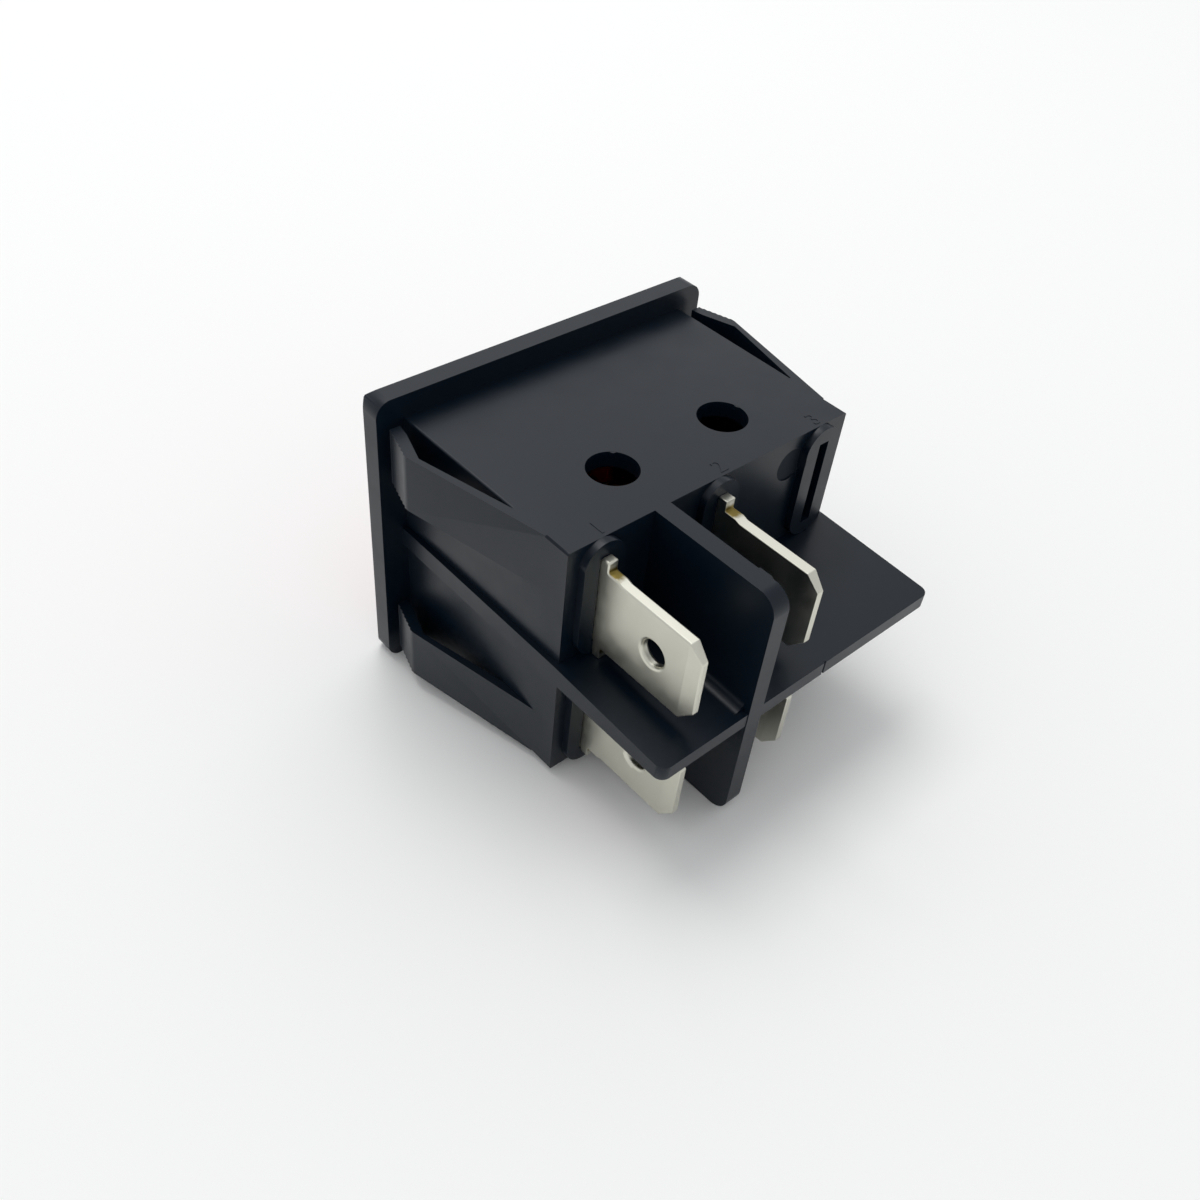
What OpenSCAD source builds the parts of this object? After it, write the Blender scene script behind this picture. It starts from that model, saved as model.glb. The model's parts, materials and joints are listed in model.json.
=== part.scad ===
// Panel rocker switch: double pole, on and off, with a lamp in the rocker and push-on tabs.
// Millimetres, +Z up. Origin: centre of the bezel's seating face. +X: along the rocker.
// +Y: into the panel, towards the tabs. It rests with the +X end of the rocker pressed in.

/* [Body] */
// Body length along X
body_w = 25.4; // [22:0.1:45]
// Body height along Z
body_h = 20; // [18:0.1:40]
// Body depth behind the bezel
body_d = 16.8; // [15:0.1:30]
// Radius of the body's long edges
body_r = 0.15; // [0.1:0.05:2]
// Thickness of the end walls
end_wall = 1.1; // [0.8:0.05:3]
// Thickness of the long walls
side_wall = 1.2; // [1:0.05:3]
// Thickness of the back wall
back_wall = 1.6; // [1:0.05:4]
// Thickness of the wall between the poles
mid_wall = 1.2; // [0.8:0.05:3]
// Diameter of the round windows in the long walls
window_d = 3.6; // [2:0.1:5]
// Distance of the windows from the body's back
window_back = 4.66; // [3:0.05:8]

/* [Bezel] */
// Bezel past the body at each end
lip_x = 2.05; // [1.5:0.05:6]
// Bezel past the body along each long side
lip_z = 1.65; // [1:0.05:6]
// Bezel thickness in front of the panel
bezel_t = 1.8; // [1:0.1:4]
// Bezel corner radius
bezel_r = 1.2; // [0.6:0.05:4]
// Bevel of the bezel's front edge
bezel_bevel = 0.3; // [0.1:0.05:0.8]

/* [Clips] */
// Width of a clip along Z
clip_z = 4.35; // [2:0.05:8]
// How far a clip's peak stands out from the end wall
clip_out = 2.3; // [1.2:0.05:5]
// Distance of the clip's peak from the bezel
clip_peak = 3.75; // [3:0.05:6]
// Distance of the clip's free end from the bezel
clip_tip = 0.7; // [0.3:0.05:2]
// How far the clip's free end stands out from the end wall
clip_tip_out = 1.5; // [0.8:0.05:3]
// Distance of the clip's root from the body's back
clip_root = 2.1; // [1:0.05:6]
// Length of the clip's root along the wall
clip_root_len = 3.15; // [2:0.05:6]
// Thickness of the clip's leaf at the peak
clip_t = 0.55; // [0.4:0.05:2]
// Length of the flat at the clip's peak
clip_land = 0.4; // [0.2:0.05:1]
// Number of teeth on the ramp
clip_teeth = 6; // [2:1:8]
// Depth of a tooth
tooth = 0.12; // [0.05:0.01:0.3]
// Slope of a tooth's steep side, as a share of the tooth's length
tooth_lean = 0.3; // [0.1:0.05:0.9]

/* [Barriers] */
// Thickness of the barrier plate and of the end ribs
plate_t = 1.55; // [1:0.05:3]
// How far the plate and ribs stand out past the end walls
plate_out = 0.43; // [0.1:0.01:1.5]
// Reach of the plate past the body's back
plate_y = 10.2; // [4:0.1:20]
// Thickness of the upright web
web_t = 1.35; // [0.8:0.05:3]
// Reach of the web past the body's back
web_y = 10.25; // [4:0.05:20]
// Height of the low ridge across the web near its end
web_ridge = 0.12; // [0.05:0.01:0.3]
// Distance from that ridge's inner side to the web's end
ridge_y = 2.75; // [1:0.05:6]
// Width of the ridge
ridge_w = 1; // [0.3:0.1:2]
// How far the plate's upper face falls by its end
plate_fall = 0.45; // [0:0.05:0.6]
// Corner radius of the plate
plate_r = 0.7; // [0.3:0.05:3]
// Distance of the mould's parting line from the middle of the plate's end
parting_x = 1.75; // [0:0.05:4]
// Depth of the groove that the parting line leaves, half its width
parting = 0.1; // [0.05:0.01:0.3]
// Corner radius of the web
web_r = 1.4; // [0.3:0.05:3]
// Fillet between web and plate
web_fillet = 0.8; // [0.2:0.05:1.5]

/* [Bosses] */
// Distance of the outer terminals from the body's end
pole_inset = 2.63; // [2.4:0.01:6]
// Width of a boss
boss_w = 3.3; // [2:0.05:6]
// Height of a boss
boss_y = 0.56; // [0.2:0.01:2]
// Diameter of the ejector pin's mark beside the far upper boss
mark_d = 2.5; // [1:0.1:4]
// Depth of that mark
mark_depth = 0.12; // [0.05:0.01:0.2]
// Width of a slot
slot_w = 0.92; // [0.85:0.01:2]
// Length of a slot
slot_l = 6.9; // [6.7:0.05:9]

/* [Tabs] */
// Tab width
tab_w = 6.3; // [4.8:0.1:6.3]
// Tab thickness
tab_t = 0.8; // [0.5:0.05:0.85]
// Reach of a tab past the body's back
tab_y = 9.4; // [6:0.1:14]
// Chamfer of a tab's end corners
tab_cut = 1; // [0.4:0.05:2]
// Length of the bevel that leads a tab into its receptacle
tip_bevel = 1.1; // [0.3:0.05:2]
// Thickness left at a tab's end
tip_t = 0.5; // [0.3:0.05:0.5]
// Diameter of the hole in a tab
tab_hole = 1.9; // [1:0.05:2.4]
// Distance of that hole from the tab's end
tab_hole_y = 3.8; // [2:0.05:5]
// Width of a terminal's shoulders
shoulder_w = 8.2; // [6.6:0.05:9]
// Length of a terminal's shoulders along Y
shoulder_y = 0.7; // [0.4:0.05:1.5]
// How far the tab's middle lies nearer the plate than the slot's
tab_shift = 0.5; // [0:0.05:0.8]

/* [Rocker] */
// Swing of the rocker each way from level
swing = 10; // [6:0.5:12]
// Distance of the pivot behind the bezel's seating face
pivot_y = 2; // [1.8:0.05:3]
// Diameter of the pivot pins
pin_d = 3; // [2:0.05:3.4]
// Length of a pivot pin
pin_l = 0.8; // [0.4:0.05:1]
// Gap between pin and socket, on the radius
pin_gap = 0.05; // [0.01:0.01:0.1]
// Gap between rocker and opening
rocker_gap = 0.3; // [0.25:0.05:0.6]
// Wall of the rocker
rocker_t = 1.2; // [0.8:0.05:2]
// How far the pressed half stands proud of the bezel
proud = 0.1; // [0.1:0.05:2]
// Depth of the rocker's skirt behind the pivot
skirt = 2.2; // [1.8:0.05:3]

/* [Plungers] */
// Outer diameter of a plunger tube
tube_d = 4.4; // [4:0.05:5]
// Diameter of a plunger
plunger_d = 2.7; // [2:0.05:3]
// Gap between plunger and tube, on the radius
plunger_gap = 0.05; // [0.02:0.01:0.1]
// Length of a plunger that shows past its tube
plunger_out = 2.8; // [2:0.05:4]
// Gap between plunger and lever at rest
tip_gap = 0.4; // [0.32:0.01:0.6]
// Length of a plunger spring
spring_l = 4.2; // [3:0.1:7]

/* [Contacts] */
// Swing of a contact lever each way from level
lever_swing = 8; // [4:0.5:9]
// Thickness of a lever
lever_t = 1; // [0.8:0.05:1.4]
// Width of a lever
lever_w = 3.9; // [3:0.05:4.5]
// Length of a lever on the side of the empty slots
lever_back = 3.1; // [2.6:0.05:3.4]
// Radius of the knife edge a lever rocks on
knife_r = 0.3; // [0.2:0.01:0.36]
// Distance from the outer terminal back to the contacts
contact_inset = 1.85; // [1.85:0.05:3]
// Diameter of the contacts
contact_d = 2.8; // [2:0.05:3.2]
// Shank diameter of the contacts
shank_d = 1.4; // [0.8:0.05:1.8]
// Gap left between the closed contacts
closed_gap = 0.03; // [0.02:0.01:0.1]

/* [Lamp] */
// Diameter of the lamp
lamp_d = 3.6; // [2.5:0.1:4]
// Length of the lamp
lamp_l = 8; // [6:0.1:8.5]
// Diameter of the lead wires
wire_d = 0.45; // [0.3:0.05:0.6]
// Outer diameter of a lamp spring
lamp_spring_d = 1.7; // [1.2:0.05:1.9]
// Distance of the lamp springs from the middle
lamp_spring_x = 5.2; // [4.8:0.05:5.8]

/* [Hidden] */
$fn = 64;

half_w = body_w / 2;
half_h = body_h / 2;
in_w = half_w - end_wall;
in_h = half_h - side_wall;
floor_y = body_d - back_wall;
pole_x = half_w - pole_inset;
web_x = pole_x / 2;
fall_angle = atan(plate_fall / plate_y);
boss_z = (plate_t / 2 + half_h) / 2;
boss_top = boss_z * 2 - plate_t / 2;
mark_x = -pole_x * 0.735;
mark_z = half_h * 0.775;
tab_z = boss_z - tab_shift;
seat_y = body_d + boss_y;

// Contacts: the fixed contact's face is placed from the back wall, and the knife edge from it
contact_x = pole_x - contact_inset;
foot_y = floor_y - 0.55 - tab_t;
fixed_head = 0.45;
face_y = foot_y - fixed_head;
lever_front = lever_t * 0.75;
lever_under = lever_t - lever_front;
moving_head = 0.6;
dome_r = 3;
arm_x = contact_x + 0.2;
knife_y = face_y - closed_gap - dome_r - arm_x * sin(lever_swing)
          - (lever_under + moving_head - dome_r) * cos(lever_swing);

// Plungers: the tip keeps tip_gap from the lever at rest
tip_r = plunger_d / 2;
reach = ((knife_y - pivot_y) * cos(lever_swing) - lever_front - tip_r - tip_gap)
        / cos(swing + lever_swing);
tip_y = pivot_y + reach;
tube_end = tip_y + tip_r - plunger_out;
bore_y = -bezel_t - proud + rocker_t + 0.2;
plunger_y = bore_y + spring_l;

end_r = in_w - rocker_gap;
rocker_z = in_h - rocker_gap;
front_y = -(bezel_t + proud + pivot_y) / cos(swing) + pivot_y;

// Lamp, resistor and leads lie level with each other in the hollow of the rocker
lamp_x = 0.8;
lamp_y = front_y + rocker_t + 0.35 + lamp_d / 2;
lead_z = 0.8;
bend_r = 1.5 * wire_d;
resistor_d = 1.8;
resistor_x = lamp_spring_x + 2.4;
resistor_z = -lead_z - bend_r - 0.1;
lamp_spring_y = knife_y + 1.6;
post_d = lamp_spring_d + 0.5;
post_pin_d = lamp_spring_d * 0.3;
pin_side = (post_pin_d + wire_d) / 2 + 0.03;
resistor_l = resistor_z + tab_z + pin_side - bend_r - 0.1;
small = 0.01;

// A flat shape drawn in X and Z, extruded from y0 along +Y
module along_y(y0, len) {
    translate([0, y0, 0]) rotate([-90, 0, 0]) mirror([0, 1, 0]) linear_extrude(len) children();
}

// A flat shape drawn in Y and Z, extruded along X about x0
module across_x(x0, len) {
    translate([x0 - len / 2, 0, 0]) rotate([90, 0, 90]) linear_extrude(len) children();
}

module rounded(w, h, r) {
    square([w - 2 * r, h], center = true);
    square([w, h - 2 * r], center = true);
    for (x = [-1, 1])
        for (y = [-1, 1])
            translate([x * (w / 2 - r), y * (h / 2 - r)]) circle(r);
}

module rod_y(x, y0, y1, z, d) {
    translate([x, y0, z]) rotate([-90, 0, 0]) cylinder(h = y1 - y0, d = d);
}

module sleeve_y(x, y0, y1, z, d, bore) {
    difference() {
        rod_y(x, y0, y1, z, d);
        rod_y(x, y0 - 1, y1 + 1, z, bore);
    }
}

// The lower row is the upper row mirrored
module row(s) {
    mirror([0, 0, s > 0 ? 0 : 1]) children();
}

// Drawn with the rocker level, then turned to its resting end
module tilted() {
    translate([0, pivot_y, 0]) rotate([0, 0, swing]) translate([0, -pivot_y, 0]) children();
}

// Drawn with the lever level, then turned to its open position
module open_lever() {
    translate([0, knife_y, 0]) rotate([0, 0, -lever_swing]) children();
}

module bezel() {
    w = body_w + 2 * lip_x;
    h = body_h + 2 * lip_z;
    b = bezel_bevel;
    t = bezel_t;
    intersection() {
        along_y(-t, t) rounded(w, h, bezel_r);
        translate([0, 0, -h]) linear_extrude(2 * h)
            polygon([[-w / 2 + b, -t], [w / 2 - b, -t], [w / 2, b - t], [w / 2, 0],
                     [-w / 2, 0], [-w / 2, b - t]]);
        across_x(0, 2 * w)
            polygon([[-t, -h / 2 + b], [-t, h / 2 - b], [b - t, h / 2], [0, h / 2],
                     [0, -h / 2], [b - t, -h / 2]]);
    }
}

module clip_shape() {
    root_y = body_d - clip_root;
    start = clip_peak - clip_land;
    run = (start - clip_tip) / clip_teeth;
    fall = (clip_out - clip_tip_out) / clip_teeth;
    teeth = [for (i = [0 : clip_teeth - 1])
        each [[clip_out - i * fall, start - i * run],
              [clip_out - i * fall - tooth, start - (i + tooth_lean) * run]]];
    polygon(concat(
        [[-0.5, root_y], [0, root_y], [clip_out, clip_peak]],
        teeth,
        [[clip_tip_out, clip_tip], [clip_tip_out - 0.8, clip_tip],
         [clip_tip_out - 0.62, clip_tip + 1],
         [clip_out - clip_t, clip_peak + 0.55],
         [0, root_y - clip_root_len], [-0.5, root_y - clip_root_len]]));
}

module plate() {
    len = body_d + plate_y;
    w = 2 * (half_w + plate_out);
    r = plate_r;
    t = plate_t / 2;
    intersection() {
        translate([0, 0, -plate_t]) linear_extrude(2 * plate_t) difference() {
            union() {
                translate([-w / 2, 0]) square([w, len - r]);
                translate([-w / 2 + r, 0]) square([w - 2 * r, len]);
                for (x = [-1, 1]) translate([x * (w / 2 - r), len - r]) circle(r);
            }
            translate([-parting_x - parting, len - parting]) square(2 * parting);
        }
        across_x(0, 2 * w)
            polygon([[0, -t], [len, -t], [len, t - plate_fall], [body_d, t], [0, t]]);
    }
}

module web_side(y0) {
    end = body_d + web_y;
    intersection() {
        union() {
            translate([floor_y, -half_h]) square([end - floor_y - web_r, body_h]);
            translate([floor_y, -half_h + web_r]) square([end - floor_y, body_h - 2 * web_r]);
            for (z = [-1, 1]) translate([end - web_r, z * (half_h - web_r)]) circle(web_r);
        }
        translate([y0, -body_h]) square([end, 2 * body_h]);
    }
}

module web() {
    across_x(web_x, web_t) web_side(floor_y);
    across_x(web_x - web_t / 2, 2 * web_ridge)
        translate([body_d + web_y - ridge_y, -half_h]) square([ridge_w, body_h]);
    for (x = [-1, 1])
        for (z = [-1, 1])
            translate([web_x + x * web_t / 2, body_d, z * plate_t / 2])
                rotate([z > 0 ? -fall_angle : 0, 0, 0])
                    along_y(-0.2, plate_y - 0.3) difference() {
                        translate([x > 0 ? -0.1 : -web_fillet, z > 0 ? -0.1 : -web_fillet])
                            square(web_fillet + 0.1);
                        translate([x * web_fillet, z * web_fillet]) circle(web_fillet);
                    }
}

module boss_shape(w, l) {
    r = w / 2;
    square([w, l - w], center = true);
    for (z = [-1, 1]) translate([0, z * (l / 2 - r)]) circle(r);
}

module housing() {
    boss_l = boss_top - plate_t / 2;
    color("#17191b") difference() {
        union() {
            bezel();
            difference() {
                along_y(-small, body_d + small) rounded(body_w, body_h, body_r);
                rod_y(mark_x, body_d - mark_depth, body_d + 1, mark_z, mark_d);
            }
            plate();
            web();
            for (s = [-1, 1])
                row(s) {
                    for (x = [-pole_x, 0, pole_x])
                        translate([x, 0, boss_z])
                            along_y(body_d - 0.2, boss_y + 0.2) boss_shape(boss_w, boss_l);
                    for (m = [0, 1])
                        mirror([m, 0, 0]) translate([half_w, 0, half_h - clip_z])
                            linear_extrude(clip_z) clip_shape();
                }
        }
        translate([-in_w, -bezel_t - 1, mid_wall / 2])
            cube([2 * in_w, bezel_t + 1 + floor_y, in_h - mid_wall / 2]);
        translate([-in_w, -bezel_t - 1, -in_h])
            cube([2 * in_w, bezel_t + 1 + floor_y, in_h - mid_wall / 2]);
        translate([-in_w, -bezel_t - 1, -mid_wall])
            cube([2 * in_w, bezel_t + 1 + knife_y - 2.8, 2 * mid_wall]);
        for (x = [-pole_x, 0, pole_x])
            for (z = [-1, 1])
                translate([x - slot_w / 2, floor_y - 1, z * boss_z - slot_l / 2])
                    cube([slot_w, back_wall + boss_y + 2, slot_l]);
        for (x = [-1, 1])
            for (z = [0, 1])
                mirror([0, 0, z]) translate([x * web_x, body_d - window_back, in_h - 0.5])
                    cylinder(h = body_h, d = window_d);
        translate([0, pivot_y, -in_h - pin_l - 0.1])
            cylinder(h = 2 * (in_h + pin_l + 0.1), r = pin_d / 2 + pin_gap);
    }
}

// Outline of the rocker's side, level, drawn in X and Y
module rocker_side(t) {
    reach_x = end_r * 1.2;
    intersection() {
        translate([0, pivot_y]) circle(end_r - t);
        polygon([[-reach_x, front_y + t - reach_x * tan(swing)], [0, front_y + t],
                 [reach_x, front_y + t - reach_x * tan(swing)],
                 [reach_x, pivot_y + skirt + t], [-reach_x, pivot_y + skirt + t]]);
    }
}

module rocker() {
    color("#b3150f", 0.75) tilted() {
        difference() {
            union() {
                difference() {
                    translate([0, 0, -rocker_z]) linear_extrude(2 * rocker_z) rocker_side(0);
                    translate([0, 0, rocker_t - rocker_z])
                        linear_extrude(2 * (rocker_z - rocker_t)) rocker_side(rocker_t);
                }
                for (s = [-1, 1])
                    rod_y(0, front_y + rocker_t / 2, tube_end, s * tab_z, tube_d);
                for (s = [-1, 1]) {
                    rod_y(-lamp_spring_x, front_y, lamp_y - wire_d / 2, s * tab_z, post_d);
                    rod_y(-lamp_spring_x, front_y, lamp_y + 1, s * tab_z, post_pin_d);
                }
            }
            for (s = [-1, 1])
                rod_y(0, bore_y, tube_end + 1, s * tab_z, plunger_d + 2 * plunger_gap);
        }
        for (s = [-1, 1])
            row(s) translate([0, pivot_y, rocker_z - 0.2])
                cylinder(h = 0.2 + rocker_gap + pin_l, d = pin_d);
    }
}

// A stamped blade with its shoulders, drawn in Y and Z; inner gives its inside end
module blade_side(inner) {
    end = body_d + tab_y;
    w = tab_w / 2;
    translate([0, tab_z]) {
        polygon([[seat_y, -w], [end - tab_cut, -w], [end, tab_cut - w], [end, w - tab_cut],
                 [end - tab_cut, w], [seat_y + 2, w], [seat_y + 1.6, w + 0.15], [seat_y, w + 0.15]]);
        translate([seat_y, -shoulder_w / 2]) square([shoulder_y, shoulder_w]);
    }
    translate([inner, boss_z - slot_l / 2 + 0.12])
        square([seat_y + small - inner, slot_l - 0.24]);
}

module blade(x, inner) {
    end = body_d + tab_y;
    hole_y = end - tab_hole_y;
    difference() {
        intersection() {
            across_x(x, tab_t) blade_side(inner);
            translate([x, 0, -body_h]) linear_extrude(2 * body_h)
                polygon([[-tab_t / 2, 0], [-tab_t / 2, end - tip_bevel], [-tip_t / 2, end],
                         [tip_t / 2, end], [tab_t / 2, end - tip_bevel], [tab_t / 2, 0]]);
        }
        translate([x, hole_y, tab_z]) rotate([0, 90, 0]) {
            cylinder(h = 4, d = tab_hole, center = true);
            for (m = [0, 1])
                mirror([0, 0, m]) translate([0, 0, tab_t / 2 - 0.16])
                    cylinder(h = 0.32, r1 = tab_hole / 2, r2 = tab_hole / 2 + 0.5);
        }
    }
}

module contact_terminal(s) {
    color("#c9c7b4") row(s) difference() {
        union() {
            blade(pole_x, foot_y);
            translate([contact_x - contact_d / 2 - 0.2, foot_y, tab_z - lever_w / 2])
                cube([pole_x + tab_t / 2 - contact_x + contact_d / 2 + 0.2, tab_t, lever_w]);
        }
        rod_y(contact_x, foot_y - 1, foot_y + tab_t + 1, tab_z, shank_d + 0.02);
    }
}

module common_terminal(s) {
    saddle = lever_w + 0.2;
    prong = 0.7;
    color("#c9c7b4") row(s) {
        difference() {
            union() {
                blade(0, foot_y);
                translate([-tab_t / 2, knife_y - 1.1, tab_z - saddle / 2 - prong])
                    cube([tab_t, foot_y - knife_y + 1.1 + small, saddle + 2 * prong]);
            }
            translate([-tab_t, knife_y - 2, tab_z - saddle / 2])
                cube([2 * tab_t, 2.6, saddle]);
        }
        translate([-knife_r, knife_y, tab_z - saddle / 2]) cube([2 * knife_r, 1, saddle]);
        translate([0, knife_y, tab_z - saddle / 2]) cylinder(h = saddle, r = knife_r);
        translate([-lamp_spring_x - 1, lamp_spring_y, tab_z - 1.4])
            cube([lamp_spring_x + 1, tab_t, 2.8]);
    }
}

module fixed_contact(s) {
    color("#d4d6d8") row(s) {
        rod_y(contact_x, face_y, foot_y, tab_z, contact_d);
        rod_y(contact_x, foot_y - small, foot_y + tab_t, tab_z, shank_d);
        rod_y(contact_x, foot_y + tab_t, foot_y + tab_t + 0.3, tab_z, shank_d + 0.6);
    }
}

module contact_lever(s) {
    z0 = tab_z - lever_w / 2;
    len = lever_back + arm_x + contact_d / 2 + 0.2;
    color("#c8863c") row(s) open_lever() difference() {
        translate([-lever_back, -lever_front, z0]) cube([len, lever_t, lever_w]);
        translate([0, 0, z0 - 1]) cylinder(h = lever_w + 2, r = knife_r + 0.05);
        translate([0, 0, z0 - 1]) linear_extrude(lever_w + 2)
            polygon([[-knife_r - 0.05, 0], [knife_r + 0.05, 0],
                     [knife_r + 0.6, 1], [-knife_r - 0.6, 1]]);
        rod_y(arm_x, -2, 2, tab_z, shank_d + 0.02);
    }
}

module moving_contact(s) {
    color("#d4d6d8") row(s) open_lever() {
        intersection() {
            rod_y(arm_x, lever_under, lever_under + 2, tab_z, contact_d);
            translate([arm_x, lever_under + moving_head - dome_r, tab_z]) sphere(dome_r);
        }
        rod_y(arm_x, -lever_front, lever_under + small, tab_z, shank_d);
        rod_y(arm_x, -lever_front - 0.3, -lever_front, tab_z, shank_d + 0.6);
    }
}

module plunger(s) {
    color("#26282b") row(s) tilted() {
        rod_y(0, plunger_y, tip_y, tab_z, plunger_d);
        translate([0, tip_y, tab_z]) sphere(tip_r);
    }
}

module plunger_spring(s) {
    d = plunger_d - 0.3;
    color("#b9bcc0") row(s) tilted() sleeve_y(0, bore_y, plunger_y, tab_z, d, d - 0.8);
}

// A round wire through points given in X and Z, square at each corner and bent round it
module wire(y, p) {
    last = len(p) - 1;
    translate([0, y, 0]) rotate([90, 0, 0])
        for (i = [0 : last - 1]) {
            step = p[i + 1] - p[i];
            a = step / norm(step);
            near = i > 0 ? bend_r : 0;
            far = i < last - 1 ? bend_r : 0;
            translate(p[i] + a * near) rotate([0, 0, atan2(a[1], a[0])]) rotate([0, 90, 0])
                cylinder(h = norm(step) - near - far, d = wire_d);
            if (i < last - 1) bend(p[i + 1], a, (p[i + 2] - p[i + 1]) / norm(p[i + 2] - p[i + 1]));
        }
}

// The quarter bend at corner c, from direction a to direction b
module bend(c, a, b) {
    from = a[0] * b[1] > a[1] * b[0] ? -b : a;
    translate(c + (b - a) * bend_r) rotate([0, 0, atan2(from[1], from[0])])
        rotate_extrude(angle = 90) translate([bend_r, 0]) circle(d = wire_d);
}

module neon_lamp() {
    color("#e8c9b8", 0.5) tilted()
        translate([lamp_x, lamp_y, 0]) rotate([0, 90, 0]) {
            cylinder(h = lamp_l - lamp_d / 2, d = lamp_d);
            translate([0, 0, lamp_l - lamp_d / 2]) sphere(d = lamp_d);
        }
}

module lamp_lead() {
    x = -lamp_spring_x + pin_side;
    color("#b9bcc0") tilted()
        wire(lamp_y, [[lamp_x, lead_z], [x, lead_z], [x, tab_z + 0.8]]);
}

module link_lead() {
    color("#b9bcc0") tilted()
        wire(lamp_y, [[lamp_x, -lead_z], [-resistor_x, -lead_z], [-resistor_x, resistor_z]]);
}

module ballast_resistor() {
    color("#c9a978") tilted()
        translate([-resistor_x, lamp_y, resistor_z - resistor_l])
            cylinder(h = resistor_l, d = resistor_d);
}

module resistor_lead() {
    z = -tab_z - pin_side;
    color("#b9bcc0") tilted()
        wire(lamp_y, [[-resistor_x, resistor_z - resistor_l], [-resistor_x, z],
                      [-lamp_spring_x + 0.8, z]]);
}

module lamp_spring(s) {
    up = lamp_y - pivot_y;
    x = -lamp_spring_x * cos(swing) - up * sin(swing);
    y = pivot_y - lamp_spring_x * sin(swing) + up * cos(swing) + wire_d;
    color("#b9bcc0") row(s)
        sleeve_y(x, y, lamp_spring_y, tab_z, lamp_spring_d, lamp_spring_d - 0.7);
}

housing();
rocker();
contact_terminal(1);  // upper_contact_terminal
contact_terminal(-1);  // lower_contact_terminal
common_terminal(1);  // upper_common_terminal
common_terminal(-1);  // lower_common_terminal
fixed_contact(1);  // upper_fixed_contact
fixed_contact(-1);  // lower_fixed_contact
contact_lever(1);  // upper_contact_lever
contact_lever(-1);  // lower_contact_lever
moving_contact(1);  // upper_moving_contact
moving_contact(-1);  // lower_moving_contact
plunger(1);  // upper_plunger
plunger(-1);  // lower_plunger
plunger_spring(1);  // upper_plunger_spring
plunger_spring(-1);  // lower_plunger_spring
neon_lamp();
lamp_lead();
link_lead();
ballast_resistor();
resistor_lead();
lamp_spring(1);  // upper_lamp_spring
lamp_spring(-1);  // lower_lamp_spring
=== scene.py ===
import json
import math

import bmesh
import bpy
from mathutils import Matrix, Vector


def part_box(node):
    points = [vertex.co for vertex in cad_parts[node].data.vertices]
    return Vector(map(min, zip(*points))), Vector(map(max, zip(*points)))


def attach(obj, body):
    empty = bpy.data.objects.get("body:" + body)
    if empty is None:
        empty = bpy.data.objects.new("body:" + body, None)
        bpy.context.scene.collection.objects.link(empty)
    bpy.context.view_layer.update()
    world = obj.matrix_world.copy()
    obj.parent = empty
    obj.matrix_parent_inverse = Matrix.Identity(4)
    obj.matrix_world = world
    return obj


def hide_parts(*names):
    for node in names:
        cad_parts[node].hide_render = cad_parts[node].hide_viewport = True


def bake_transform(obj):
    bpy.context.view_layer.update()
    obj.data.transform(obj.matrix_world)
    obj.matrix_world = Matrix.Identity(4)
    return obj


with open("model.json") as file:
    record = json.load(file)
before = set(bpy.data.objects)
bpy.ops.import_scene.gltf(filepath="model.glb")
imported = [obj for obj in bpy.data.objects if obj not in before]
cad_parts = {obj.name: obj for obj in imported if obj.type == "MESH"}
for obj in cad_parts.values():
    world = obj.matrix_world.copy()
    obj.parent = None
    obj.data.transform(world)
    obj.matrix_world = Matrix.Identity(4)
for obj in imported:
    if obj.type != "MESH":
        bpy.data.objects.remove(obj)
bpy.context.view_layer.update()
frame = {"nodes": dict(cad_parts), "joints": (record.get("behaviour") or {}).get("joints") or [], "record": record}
mm = 0.001
# points nearer to each other than this are one point
mergeGap = 0.0005 * mm
bodyOf = {node: body for body, nodes in frame["record"]["behaviour"]["bodies"].items() for node in nodes}
print("frame loaded:", len(frame["nodes"]), "nodes")


def hexColour(text):
    channels = [int(text[i:i + 2], 16) / 255 for i in (1, 3, 5)]
    return (*[c / 12.92 if c <= 0.04045 else ((c + 0.055) / 1.055) ** 2.4 for c in channels], 1.0)


def addNode(tree, kind, settings=(), links=()):
    node = tree.nodes.new(kind)
    for key, value in dict(settings).items():
        if isinstance(key, str) and hasattr(node, key):
            setattr(node, key, value)
        else:
            node.inputs[key].default_value = value
    for key, source in dict(links).items():
        tree.links.new(source, node.inputs[key])
    return node


def newMaterial(name, finish):
    material = bpy.data.materials.new(name)
    material.use_nodes = True
    tree = material.node_tree
    shader = tree.nodes["Principled BSDF"]
    for socket, value in finish.items():
        shader.inputs[socket].default_value = value
    place = addNode(tree, "ShaderNodeTexCoord").outputs["Object"]
    return material, tree, shader, place


def addGrain(tree, shader, place, grain, depth, waves=0.0, waveDepth=0.0):
    # a fine moulded or rolled grain, with slow waves under it where the surface has sunk a little
    fine = addNode(tree, "ShaderNodeTexNoise", {"Scale": 1 / grain, "Detail": 1.0}, {"Vector": place})
    bump = addNode(tree, "ShaderNodeBump", {"Distance": depth, "Strength": 1.0},
                   {"Height": fine.outputs["Fac"]})
    if waves:
        slow = addNode(tree, "ShaderNodeTexNoise", {"Scale": 1 / waves, "Detail": 1.0},
                       {"Vector": place})
        under = addNode(tree, "ShaderNodeBump", {"Distance": waveDepth, "Strength": 1.0},
                        {"Height": slow.outputs["Fac"]})
        tree.links.new(under.outputs["Normal"], bump.inputs["Normal"])
    tree.links.new(bump.outputs["Normal"], shader.inputs["Normal"])


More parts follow.
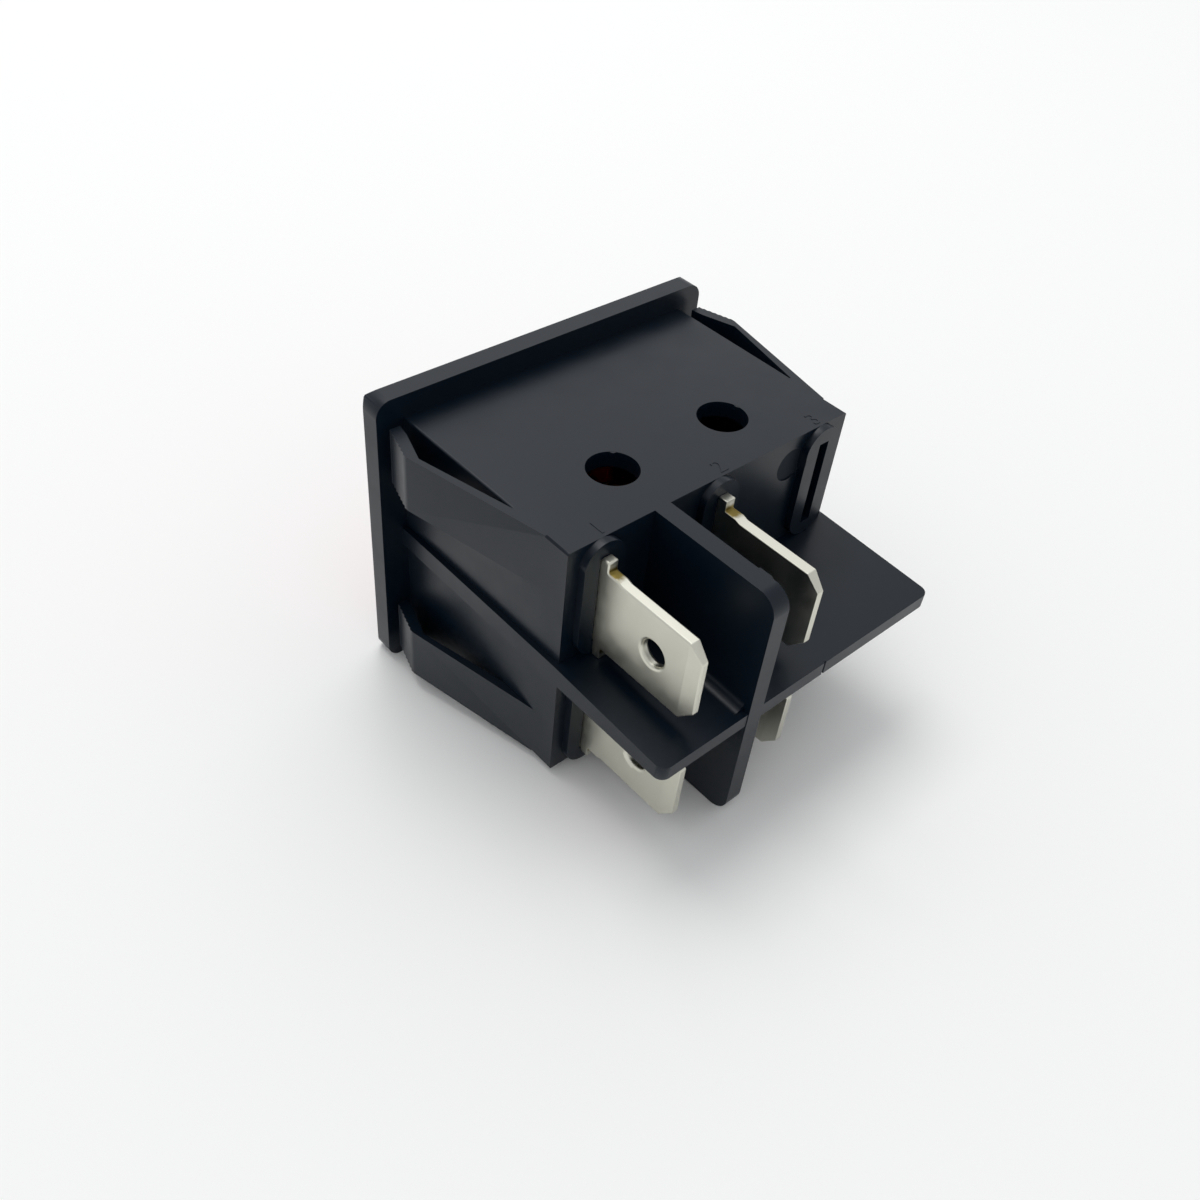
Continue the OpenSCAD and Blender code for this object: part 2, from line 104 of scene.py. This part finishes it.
def varyRoughness(tree, shader, place, size, low, high):
    patches = addNode(tree, "ShaderNodeTexNoise", {"Scale": 1 / size, "Detail": 4.0}, {"Vector": place})
    spread = addNode(tree, "ShaderNodeMapRange",
                     {"From Min": 0.3, "From Max": 0.7, "To Min": low, "To Max": high},
                     {"Value": patches.outputs["Fac"]})
    tree.links.new(spread.outputs["Result"], shader.inputs["Roughness"])
    return spread


# the round mark of the pin that pushed the housing out of its mould
ejectorMark = {"place": (-7.4 * mm, 16.68 * mm, 7.77 * mm), "radius": 1.27 * mm, "roughness": 0.7}


def makeBlackNylon():
    # moulded nylon 66, black: near-black body with a satin skin that mirrors pale surroundings softly
    material, tree, shader, place = newMaterial(
        "mouldedBlackNylon", {"IOR": 1.5, "Specular IOR Level": 0.3, "Roughness": 0.3})
    mottle = addNode(tree, "ShaderNodeTexNoise", {"Scale": 1 / (1.8 * mm), "Detail": 5.0},
                     {"Vector": place})
    tint = addNode(tree, "ShaderNodeValToRGB", {}, {"Fac": mottle.outputs["Fac"]})
    tint.color_ramp.elements[0].color = hexColour("#04101b")
    tint.color_ramp.elements[1].color = hexColour("#06131f")
    tree.links.new(tint.outputs["Color"], shader.inputs["Base Color"])
    skin = varyRoughness(tree, shader, place, 2.5 * mm, 0.3, 0.38)
    # the pin's mark is duller than the skin around it
    fromPin = addNode(tree, "ShaderNodeVectorMath", {"operation": "DISTANCE", 1: ejectorMark["place"]},
                      {0: place})
    outside = addNode(tree, "ShaderNodeMath", {"operation": "GREATER_THAN", 1: ejectorMark["radius"]},
                      {0: fromPin.outputs["Value"]})
    dull = addNode(tree, "ShaderNodeMapRange", {"To Min": ejectorMark["roughness"]},
                   {"Value": outside.outputs[0], "To Max": skin.outputs["Result"]})
    tree.links.new(dull.outputs["Result"], shader.inputs["Roughness"])
    addGrain(tree, shader, place, grain=0.3 * mm, depth=0.001 * mm, waves=5 * mm, waveDepth=0.02 * mm)
    return material


# where a blade's cut edges are bare: up to a ragged line in Y, and only near the outline in Z
bareEdge = {"from": 18.4 * mm, "to": 19.2 * mm, "tooth": 0.4 * mm, "fadeStart": 0.3 * mm,
            "fadeEnd": -0.2 * mm, "outer": 3.75 * mm, "inner": 3.5 * mm}


def makeTinnedBrass(bladeZ):
    # brass tinned after stamping: dull silver all over, but bare along a blade's cut edges
    # near its shoulders
    material, tree, shader, place = newMaterial("tinPlatedBrass", {"Metallic": 1.0, "Roughness": 0.34})
    side = addNode(tree, "ShaderNodeSeparateXYZ", {},
                   {"Vector": addNode(tree, "ShaderNodeTexCoord").outputs["Normal"]})
    flat = addNode(tree, "ShaderNodeMath", {"operation": "ABSOLUTE"}, {0: side.outputs["X"]})
    cut = addNode(tree, "ShaderNodeMapRange", {"From Min": 0.8, "From Max": 0.3},
                  {"Value": flat.outputs[0]})
    depth = addNode(tree, "ShaderNodeSeparateXYZ", {}, {"Vector": place})
    ragged = addNode(tree, "ShaderNodeTexNoise", {"Scale": 1 / bareEdge["tooth"], "Detail": 2.0},
                     {"Vector": place})
    reach = addNode(tree, "ShaderNodeMapRange", {"To Min": bareEdge["from"], "To Max": bareEdge["to"]},
                    {"Value": ragged.outputs["Fac"]})
    past = addNode(tree, "ShaderNodeMath", {"operation": "SUBTRACT"},
                   {0: depth.outputs["Y"], 1: reach.outputs["Result"]})
    root = addNode(tree, "ShaderNodeMapRange",
                   {"From Min": bareEdge["fadeStart"], "From Max": bareEdge["fadeEnd"]},
                   {"Value": past.outputs[0]})
    level = addNode(tree, "ShaderNodeMath", {"operation": "ABSOLUTE"}, {0: depth.outputs["Z"]})
    offset = addNode(tree, "ShaderNodeMath", {"operation": "SUBTRACT", 1: bladeZ}, {0: level.outputs[0]})
    apart = addNode(tree, "ShaderNodeMath", {"operation": "ABSOLUTE"}, {0: offset.outputs[0]})
    edge = addNode(tree, "ShaderNodeMapRange",
                   {"From Min": bareEdge["outer"], "From Max": bareEdge["inner"]},
                   {"Value": apart.outputs[0]})
    bareEnd = addNode(tree, "ShaderNodeMath", {"operation": "MULTIPLY"},
                      {0: cut.outputs["Result"], 1: root.outputs["Result"]})
    bare = addNode(tree, "ShaderNodeMath", {"operation": "MULTIPLY"},
                   {0: bareEnd.outputs[0], 1: edge.outputs["Result"]})
    colour = addNode(tree, "ShaderNodeMix", {"data_type": "RGBA"}, {"Factor": bare.outputs[0]})
    colour.inputs[6].default_value = hexColour("#d4d3c6")
    colour.inputs[7].default_value = hexColour("#80713c")
    tree.links.new(colour.outputs[2], shader.inputs["Base Color"])
    varyRoughness(tree, shader, place, 1.2 * mm, 0.3, 0.4)
    addGrain(tree, shader, place, grain=0.25 * mm, depth=0.001 * mm)
    return material


def makeRedPolycarbonate():
    # polished polycarbonate, dyed red, clear enough to glow when the lamp behind it is lit
    material, tree, shader, place = newMaterial(
        "redPolycarbonate", {"IOR": 1.58, "Transmission Weight": 0.15, "Roughness": 0.16})
    cloud = addNode(tree, "ShaderNodeTexNoise", {"Scale": 1 / (6 * mm), "Detail": 2.0},
                    {"Vector": place})
    tint = addNode(tree, "ShaderNodeValToRGB", {}, {"Fac": cloud.outputs["Fac"]})
    tint.color_ramp.elements[0].color = hexColour("#b0100d")
    tint.color_ramp.elements[1].color = hexColour("#c51812")
    tree.links.new(tint.outputs["Color"], shader.inputs["Base Color"])
    addGrain(tree, shader, place, grain=0.5 * mm, depth=0.001 * mm)
    return material


def makeMetal(name, low, high, roughness, grain):
    # a plain metal whose colour wanders a little between two tones
    material, tree, shader, place = newMaterial(name, {"Metallic": 1.0, "Roughness": roughness})
    wander = addNode(tree, "ShaderNodeTexNoise", {"Scale": 1 / (0.9 * mm), "Detail": 4.0},
                     {"Vector": place})
    tint = addNode(tree, "ShaderNodeValToRGB", {}, {"Fac": wander.outputs["Fac"]})
    tint.color_ramp.elements[0].color = hexColour(low)
    tint.color_ramp.elements[1].color = hexColour(high)
    tree.links.new(tint.outputs["Color"], shader.inputs["Base Color"])
    varyRoughness(tree, shader, place, 0.8 * mm, roughness * 0.85, roughness * 1.2)
    addGrain(tree, shader, place, grain=grain, depth=0.0012 * mm)
    return material


def makePlastic(name, colour, roughness, grain):
    # a plain moulded or lacquered surface with a fine grain
    material, tree, shader, place = newMaterial(
        name, {"IOR": 1.5, "Roughness": roughness, "Base Color": hexColour(colour)})
    varyRoughness(tree, shader, place, 1.5 * mm, roughness * 0.85, roughness * 1.15)
    addGrain(tree, shader, place, grain=grain, depth=0.002 * mm)
    return material


def makeLampGlass():
    # soda-lime glass envelope, thin and slightly wavy
    material, tree, shader, place = newMaterial(
        "lampGlass", {"IOR": 1.51, "Transmission Weight": 1.0, "Roughness": 0.03,
                      "Base Color": hexColour("#f6ece6")})
    addGrain(tree, shader, place, grain=1.4 * mm, depth=0.01 * mm)
    return material


def makeResistorLacquer(centre, length):
    # cream lacquer with four painted rings, spaced from the body's middle
    material, tree, shader, place = newMaterial("resistorLacquer", {"IOR": 1.5, "Roughness": 0.35})
    height = addNode(tree, "ShaderNodeSeparateXYZ", {}, {"Vector": place})
    along = addNode(tree, "ShaderNodeMapRange",
                    {"From Min": centre - length / 2, "From Max": centre + length / 2},
                    {"Value": height.outputs["Z"]})
    rings = addNode(tree, "ShaderNodeValToRGB", {}, {"Fac": along.outputs["Result"]})
    ramp = rings.color_ramp
    ramp.interpolation = "CONSTANT"
    body = "#d2b382"
    ramp.elements[0].color = hexColour(body)
    ramp.elements[1].position = 0.2
    ramp.elements[1].color = hexColour("#7a4a20")
    for position, colour in ((0.28, body), (0.36, "#1c1c1c"), (0.44, body), (0.52, "#c98a18"),
                             (0.60, body), (0.74, "#a88a3c"), (0.82, body)):
        ramp.elements.new(position).color = hexColour(colour)
    tree.links.new(rings.outputs["Color"], shader.inputs["Base Color"])
    addGrain(tree, shader, place, grain=0.2 * mm, depth=0.002 * mm)
    return material


blackNylon = makeBlackNylon()
bladeLow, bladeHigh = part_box("upper_contact_terminal")
tinnedBrass = makeTinnedBrass((bladeLow.z + bladeHigh.z) / 2)
redPolycarbonate = makeRedPolycarbonate()
copperAlloy = makeMetal("berylliumCopper", "#b8743c", "#c98a50", 0.3, 0.1 * mm)
silverAlloy = makeMetal("contactSilver", "#cfd0d0", "#e2e2de", 0.28, 0.1 * mm)
springSteel = makeMetal("springSteelWire", "#9a9da0", "#b6b9bb", 0.26, 0.08 * mm)
leadWire = makeMetal("tinnedLeadWire", "#b4b5b3", "#cacbc7", 0.32, 0.08 * mm)
acetal = makePlastic("blackAcetal", "#17181b", 0.38, 0.15 * mm)
printInk = makePlastic("whitePadPrint", "#e9e9e6", 0.5, 0.1 * mm)
lampGlass = makeLampGlass()
print("materials made")


def newPiece(name, mesh, material):
    piece = bpy.data.objects.new(name, mesh)
    bpy.context.scene.collection.objects.link(piece)
    mesh.materials.clear()
    mesh.materials.append(material)
    return piece


def settle(piece):
    # turns a piece with modifiers into its plain evaluated mesh
    evaluated = piece.evaluated_get(bpy.context.evaluated_depsgraph_get())
    mesh = bpy.data.meshes.new_from_object(evaluated)
    piece.modifiers.clear()
    piece.data = mesh


def shade(mesh, angle=35):
    mesh.shade_smooth()
    mesh.set_sharp_from_angle(angle=math.radians(angle))


def roomBeside(edge, face):
    # how far the face reaches to the side of one of its edges
    start, along = edge.verts[0].co, (edge.verts[1].co - edge.verts[0].co).normalized()
    return max((v.co - start - along * (v.co - start).dot(along)).length for v in face.verts)


# easing a sharp edge takes free face beside it, as a multiple of the eased width
roomPerWidth = 2.4
# two faces that lean less than this, in degrees, are one flat face
flatAngle = 0.6


def softenedCopy(node, name, material, edge, segments=2, sharpest=40):
    # the CAD solid with its sharp edges eased, as a mould or a die leaves them; fine detail stays crisp
    mesh = frame["nodes"][node].data.copy()
    work = bmesh.new()
    work.from_mesh(mesh)
    bmesh.ops.remove_doubles(work, verts=work.verts, dist=mergeGap)
    bmesh.ops.dissolve_limit(work, angle_limit=math.radians(flatAngle),
                             verts=work.verts, edges=work.edges)
    weight = work.edges.layers.float.new("bevel_weight_edge")
    for rim in work.edges:
        if len(rim.link_faces) == 2 and rim.calc_face_angle(0) > math.radians(sharpest):
            if min(roomBeside(rim, face) for face in rim.link_faces) > roomPerWidth * edge:
                rim[weight] = 1.0
    work.to_mesh(mesh)
    work.free()
    shade(mesh, sharpest)
    piece = newPiece(name, mesh, material)
    ease = piece.modifiers.new("ease", "BEVEL")
    ease.width = edge
    ease.segments = segments
    ease.limit_method = "WEIGHT"
    ease.use_clamp_overlap = True
    ease.miter_outer = "MITER_ARC"
    # large flat faces keep their own normal, and the eased edges bend between them
    level = piece.modifiers.new("level", "WEIGHTED_NORMAL")
    level.keep_sharp = True
    level.weight = 100
    settle(piece)
    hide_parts(node)
    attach(piece, bodyOf[node])


# how far each piece's edges are eased
eased = {"housing": 0.1 * mm, "rocker": 0.3 * mm, "terminal": 0.11 * mm, "lever": 0.06 * mm}
softenedCopy("housing", "housingShell", blackNylon, eased["housing"])
softenedCopy("rocker", "rockerCap", redPolycarbonate, eased["rocker"], segments=3, sharpest=30)
for row in ("upper", "lower"):
    side = row.capitalize()
    softenedCopy(row + "_contact_terminal", "contactTerminal" + side, tinnedBrass, eased["terminal"])
    softenedCopy(row + "_common_terminal", "commonTerminal" + side, tinnedBrass, eased["terminal"])
    softenedCopy(row + "_contact_lever", "contactLever" + side, copperAlloy, eased["lever"])
print("CAD solids eased")

# the small CAD solids keep their form and get their material only
finishOf = {"neon_lamp": lampGlass, "lamp_lead": leadWire, "link_lead": leadWire,
            "resistor_lead": leadWire}
for row in ("upper_", "lower_"):
    finishOf.update({row + "fixed_contact": silverAlloy, row + "moving_contact": silverAlloy,
                     row + "plunger": acetal})
for node, material in finishOf.items():
    frame["nodes"][node].material_slots[0].material = material


# turns at each end of a spring that lie closed and flat
closedTurns = 0.8


def springTree():
    tree = bpy.data.node_groups.new("coiledSpring", "GeometryNodeTree")
    face = tree.interface
    face.new_socket("Geometry", in_out="OUTPUT", socket_type="NodeSocketGeometry")
    for name, kind in (("Turns", "Float"), ("Radius", "Float"), ("Length", "Float"), ("Wire", "Float"),
                       ("Metal", "Material")):
        face.new_socket(name, in_out="INPUT", socket_type="NodeSocket" + kind)
    given = addNode(tree, "NodeGroupInput").outputs
    helix = addNode(tree, "GeometryNodeCurveSpiral", {"Resolution": 20, "Height": 0.0},
                    {"Rotations": given["Turns"], "Start Radius": given["Radius"],
                     "End Radius": given["Radius"]})
    # the first and last turn lie flat and closed, the turns between rise evenly
    share = addNode(tree, "GeometryNodeSplineParameter").outputs["Factor"]
    flatEnd = addNode(tree, "ShaderNodeMath", {"operation": "DIVIDE", 0: closedTurns},
                      {1: given["Turns"]})
    farEnd = addNode(tree, "ShaderNodeMath", {"operation": "SUBTRACT", 0: 1.0}, {1: flatEnd.outputs[0]})
    low = addNode(tree, "ShaderNodeMath", {"operation": "MULTIPLY", 1: 0.5}, {0: given["Wire"]})
    high = addNode(tree, "ShaderNodeMath", {"operation": "SUBTRACT"},
                   {0: given["Length"], 1: low.outputs[0]})
    rise = addNode(tree, "ShaderNodeMapRange", {},
                   {"Value": share, "From Min": flatEnd.outputs[0], "From Max": farEnd.outputs[0],
                    "To Min": low.outputs[0], "To Max": high.outputs[0]})
    offset = addNode(tree, "ShaderNodeCombineXYZ", {}, {"Z": rise.outputs["Result"]})
    risen = addNode(tree, "GeometryNodeSetPosition", {},
                    {"Geometry": helix.outputs["Curve"], "Offset": offset.outputs["Vector"]})
    wire = addNode(tree, "GeometryNodeCurvePrimitiveCircle", {"Resolution": 8},
                   {"Radius": low.outputs[0]})
    solid = addNode(tree, "GeometryNodeCurveToMesh", {"Fill Caps": True},
                    {"Curve": risen.outputs["Geometry"], "Profile Curve": wire.outputs["Curve"]})
    real = addNode(tree, "GeometryNodeRealizeInstances", {}, {"Geometry": solid.outputs["Mesh"]})
    finished = addNode(tree, "GeometryNodeSetMaterial", {},
                       {"Geometry": real.outputs["Geometry"], "Material": given["Metal"]})
    addNode(tree, "NodeGroupOutput", {}, {"Geometry": finished.outputs["Geometry"]})
    return tree


def runTree(name, tree, values):
    # makes a piece from a node tree, with its inputs set by identifier
    piece = bpy.data.objects.new(name, bpy.data.meshes.new(name))
    bpy.context.scene.collection.objects.link(piece)
    modifier = piece.modifiers.new("nodes", "NODES")
    modifier.node_group = tree
    for socket in tree.interface.items_tree:
        if socket.in_out == "INPUT" and socket.name in values:
            modifier[socket.identifier] = values[socket.name]
    settle(piece)
    return piece


def frameBetween(start, end):
    # a matrix that carries +Z from the origin onto the line from start to end
    return Matrix.Translation(start) @ (end - start).to_track_quat("Z", "Y").to_matrix().to_4x4()


rocking = next(j for j in frame["joints"] if j["name"] == "rocker_tilt")
pivot = Vector(rocking["pos_m"])
restTilt = math.radians(rocking["range_deg"][1] / 2)
tilt = Matrix.Translation(pivot) @ Matrix.Rotation(restTilt, 4, "Z") @ Matrix.Translation(-pivot)
tubeAxis = Matrix.Rotation(restTilt, 4, "Z") @ Vector((0, 1, 0))

springs = {
    "plunger": {"turns": 7.0, "radius": 1.0 * mm, "wire": 0.4 * mm, "length": 4.2 * mm,
                "axis": tubeAxis},
    "lamp": {"turns": 16.0, "radius": 0.675 * mm, "wire": 0.35 * mm, "axis": Vector((0, -1, 0))},
}
lampSpringLow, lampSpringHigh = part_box("upper_lamp_spring")
springs["lamp"]["length"] = lampSpringHigh.y - lampSpringLow.y
spring = springTree()
for kind, size in springs.items():
    for row in ("upper", "lower"):
        node = row + "_" + kind + "_spring"
        low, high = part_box(node)
        reach = size["axis"] * (size["length"] / 2)
        start, end = (low + high) / 2 - reach, (low + high) / 2 + reach
        piece = runTree(row + kind.capitalize() + "Spring", spring, {
            "Turns": size["turns"], "Radius": size["radius"], "Length": size["length"],
            "Wire": size["wire"], "Metal": springSteel})
        piece.data.transform(frameBetween(start, end))
        shade(piece.data, 60)
        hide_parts(node)
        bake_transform(piece)
print("springs coiled")


def lathe(name, profile, steps, material):
    # revolves (radius, height) points about Z and closes the ends
    work = bmesh.new()
    verts = [work.verts.new((r, 0, z)) for r, z in profile]
    edges = [work.edges.new(pair) for pair in zip(verts, verts[1:])]
    bmesh.ops.spin(work, geom=verts + edges, cent=(0, 0, 0), axis=(0, 0, 1),
                   angle=2 * math.pi, steps=steps, use_merge=True)
    bmesh.ops.remove_doubles(work, verts=work.verts, dist=mergeGap)
    bmesh.ops.recalc_face_normals(work, faces=work.faces)
    mesh = bpy.data.meshes.new(name)
    work.to_mesh(mesh)
    work.free()
    shade(mesh)
    return newPiece(name, mesh, material)


# resistor: a ceramic rod between two pressed caps, so its ends are fatter than its waist
low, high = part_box("ballast_resistor")
centre, length, fat = (low + high) / 2, high.z - low.z, (high.x - low.x) / 2
# half the outline as shares of the radius and the length, from the waist to the end's middle
halfOutline = [(0.86, 0.27), (1, 0.33), (1, 0.44), (0.85, 0.48), (0.55, 0.5), (0, 0.5)]
outline = ([(fat * r, -length * h) for r, h in reversed(halfOutline)]
           + [(fat * r, length * h) for r, h in halfOutline])
resistor = lathe("ballastResistor", outline, 32, makeResistorLacquer(centre.z, length))
resistor.data.transform(Matrix.Translation(centre))
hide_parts("ballast_resistor")
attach(resistor, "rocker")

# the two rod electrodes inside the lamp, side by side and a little apart
low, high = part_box("neon_lamp")
electrode = {"radius": 0.28 * mm, "length": 4.2 * mm, "apart": 0.75 * mm,
             # the flat of each end and the run of its blend, as shares of the radius
             "flat": 0.7, "blend": 0.3}
lampCentre = (low + high) / 2
lampAxis = Matrix.Rotation(restTilt, 4, "Z") @ Vector((1, 0, 0))
for name, sign in (("lampElectrodeUpper", 1), ("lampElectrodeLower", -1)):
    r, length = electrode["radius"], electrode["length"]
    flat, blend = r * electrode["flat"], r * electrode["blend"]
    rod = lathe(name, [(0, 0), (flat, 0), (r, blend), (r, length - r), (flat, length - blend),
                       (0, length)], 20, leadWire)
    start = lampCentre - lampAxis * (length / 2) + Vector((0, 0, sign * electrode["apart"]))
    rod.data.transform(frameBetween(start, start + lampAxis * length))
    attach(rod, "rocker")
print("lamp and resistor made")


def outlineCurve(name, outlines):
    curve = bpy.data.curves.new(name, "CURVE")
    curve.dimensions = "2D"
    for points in outlines:
        line = curve.splines.new("POLY")
        line.points.add(len(points) - 1)
        for point, (x, y) in zip(line.points, points):
            point.co = (x, y, 0, 1)
        line.use_cyclic_u = True
    return curve


def numeralCurve(name, numeral, height):
    curve = bpy.data.curves.new(name, "FONT")
    curve.body = numeral
    # a capital stands about 0.7 of the font's size high
    curve.size = height / 0.7
    curve.align_x = "CENTER"
    curve.align_y = "CENTER"
    curve.resolution_u = 3
    return curve


def flatMark(curve, thickness, place, material, body):
    # a thin plate from closed outlines in X and Y, carried into place by a matrix
    curve.fill_mode = "BOTH"
    curve.extrude = thickness / 2
    drawn = bpy.data.objects.new(curve.name + "Drawn", curve)
    bpy.context.scene.collection.objects.link(drawn)
    mesh = bpy.data.meshes.new_from_object(drawn.evaluated_get(bpy.context.evaluated_depsgraph_get()))
    bpy.data.objects.remove(drawn)
    work = bmesh.new()
    work.from_mesh(mesh)
    bmesh.ops.remove_doubles(work, verts=work.verts, dist=mergeGap)
    bmesh.ops.recalc_face_normals(work, faces=work.faces)
    work.to_mesh(mesh)
    work.free()
    mesh.transform(place)
    piece = newPiece(curve.name, mesh, material)
    shade(mesh)
    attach(piece, body)


def arc(radius, start, sweep, steps):
    return [(radius * math.cos(start + sweep * i / steps), radius * math.sin(start + sweep * i / steps))
            for i in range(steps + 1)]


# the generic on and off marks on the two halves of the rocker
# the level rocker's face is a shallow V whose halves lean by the swing, and the tilt then
# raises one half
rockerMarks = {"x": 5.4 * mm, "size": 2.0 * mm, "stroke": 0.5 * mm, "thickness": 0.05 * mm,
               "faceMiddle": -1.9602 * mm}
outer, half = rockerMarks["size"], rockerMarks["stroke"] / 2
inner = outer - rockerMarks["stroke"]
for name, sign, outlines in (
        ("offMark", 1, [arc(outer, 0, 2 * math.pi, 48)[:-1], arc(inner, 0, 2 * math.pi, 48)[:-1]]),
        ("onMark", -1, [[(-half, -outer), (half, -outer), (half, outer), (-half, outer)]])):
    x = sign * rockerMarks["x"]
    onFace = (Matrix.Translation((x, rockerMarks["faceMiddle"] - abs(x) * math.tan(restTilt), 0))
              @ Matrix.Rotation(-sign * restTilt, 4, "Z") @ Matrix.Rotation(math.pi / 2, 4, "X"))
    flatMark(outlineCurve(name, outlines), rockerMarks["thickness"], tilt @ onFace, printInk,
             "rocker")

# the moulded pole numbers, read from behind, one row near the back edge of each long side
poleNumbers = {"height": 1.2 * mm, "raise": 0.03 * mm, "y": 16.0 * mm,
               "x": (9.7 * mm, -0.8 * mm, -10.1 * mm)}
bezelOverlap = 1.65 * mm
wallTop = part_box("housing")[1].z - bezelOverlap
for row, turn in (("Upper", 0), ("Lower", math.pi)):
    for numeral, x in zip("123", poleNumbers["x"]):
        across = x if turn == 0 else -x
        place = (Matrix.Rotation(turn, 4, "Y") @ Matrix.Translation((across, poleNumbers["y"], wallTop))
                 @ Matrix.Rotation(math.pi, 4, "Z"))
        flatMark(numeralCurve("poleNumber" + numeral + row, numeral, poleNumbers["height"]),
                 2 * poleNumbers["raise"], place, blackNylon, "case")

# a lip of flash left on the rim of each upper window
flash = {"radius": 1.8 * mm, "sunk": 0.02 * mm, "thickness": 0.3 * mm, "y": 12.14 * mm,
         "sweep": 16, "steps": 8,
         # each lip's window in X, its middle in degrees round the rim, and how far it reaches inward
         "lips": {"A": (-5.035 * mm, 190, 0.12 * mm), "B": (5.035 * mm, 228, 0.15 * mm)}}
for letter, (x, middle, inward) in flash["lips"].items():
    start, sweep = math.radians(middle - flash["sweep"] / 2), math.radians(flash["sweep"])
    rim = arc(flash["radius"] + flash["sunk"], start, sweep, flash["steps"])
    bulge = []
    for i in reversed(range(flash["steps"])):
        share = (i + 0.5) / flash["steps"]
        reach, angle = flash["radius"] - inward * math.sin(math.pi * share), start + sweep * share
        bulge.append((reach * math.cos(angle), reach * math.sin(angle)))
    place = Matrix.Translation((x, flash["y"], wallTop - flash["thickness"] / 2))
    flatMark(outlineCurve("windowFlash" + letter, [rim + bulge]), flash["thickness"], place, blackNylon,
             "case")
print("marks made")

# the switch lies on the bezel's long edge and the web's end, so the floor leans to meet both
floorSettings = {"reach": 4.0, "colour": "#f8f8f6", "frontY": -1.5 * mm, "webY": 25.65 * mm,
                 "webZ": -10.0 * mm}
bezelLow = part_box("housing")[0].z
lean = math.atan2(floorSettings["webZ"] - bezelLow, floorSettings["webY"] - floorSettings["frontY"])
touch = Vector((0, floorSettings["frontY"], bezelLow))
reach = floorSettings["reach"]
floorMesh = bpy.data.meshes.new("paperFloor")
floorMesh.from_pydata([(-reach, -reach, 0), (reach, -reach, 0), (reach, reach, 0), (-reach, reach, 0)],
                      [], [(0, 1, 2, 3)])
floorMesh.transform(Matrix.Translation(touch) @ Matrix.Rotation(lean, 4, "X"))
paper = newMaterial("matteWhitePaper", {"Roughness": 0.9, "IOR": 1.4, "Specular IOR Level": 0.2,
                                        "Base Color": hexColour(floorSettings["colour"])})[0]
floor = newPiece("paperFloor", floorMesh, paper)

room = {"Color": hexColour("#fbfcff"), "Strength": 0.7}
world = bpy.data.worlds.new("softRoom")
world.use_nodes = True
bpy.context.scene.world = world
for socket, value in room.items():
    world.node_tree.nodes["Background"].inputs[socket].default_value = value

lamps = {
    "windowLight": {"place": (-0.05, -0.28, 0.60), "size": 0.4, "power": 1.6},
    "softBox": {"place": (-0.34, -0.33, 0.42), "size": 0.45, "power": 0.25},
}
aim = Vector((0, 10 * mm, 0))
for name, setting in lamps.items():
    light = bpy.data.lights.new(name, "AREA")
    light.size = setting["size"]
    light.energy = setting["power"]
    lamp = bpy.data.objects.new(name, light)
    lamp.location = setting["place"]
    lamp.rotation_mode = "QUATERNION"
    lamp.rotation_quaternion = (aim - lamp.location).to_track_quat("-Z", "Y")
    bpy.context.scene.collection.objects.link(lamp)

cameraSettings = {"place": (47.70 * mm, 53.723 * mm, 54.752 * mm), "target": (6.116 * mm, 13.40 * mm, 0),
                  "roll": 6.585, "lens": 34.905, "sensor": 36, "nearest": 1 * mm}
lens = bpy.data.cameras.new("camera")
lens.lens = cameraSettings["lens"]
lens.sensor_width = cameraSettings["sensor"]
lens.clip_start = cameraSettings["nearest"]
camera = bpy.data.objects.new("camera", lens)
camera.location = cameraSettings["place"]
look = Vector(cameraSettings["target"]) - camera.location
camera.rotation_mode = "QUATERNION"
camera.rotation_quaternion = look.to_track_quat("-Z", "Y") @ Matrix.Rotation(
    math.radians(cameraSettings["roll"]), 4, "Z").to_quaternion()
bpy.context.scene.collection.objects.link(camera)
bpy.context.scene.camera = camera
bpy.context.scene.view_settings.view_transform = "Standard"
print("floor, light and camera placed")
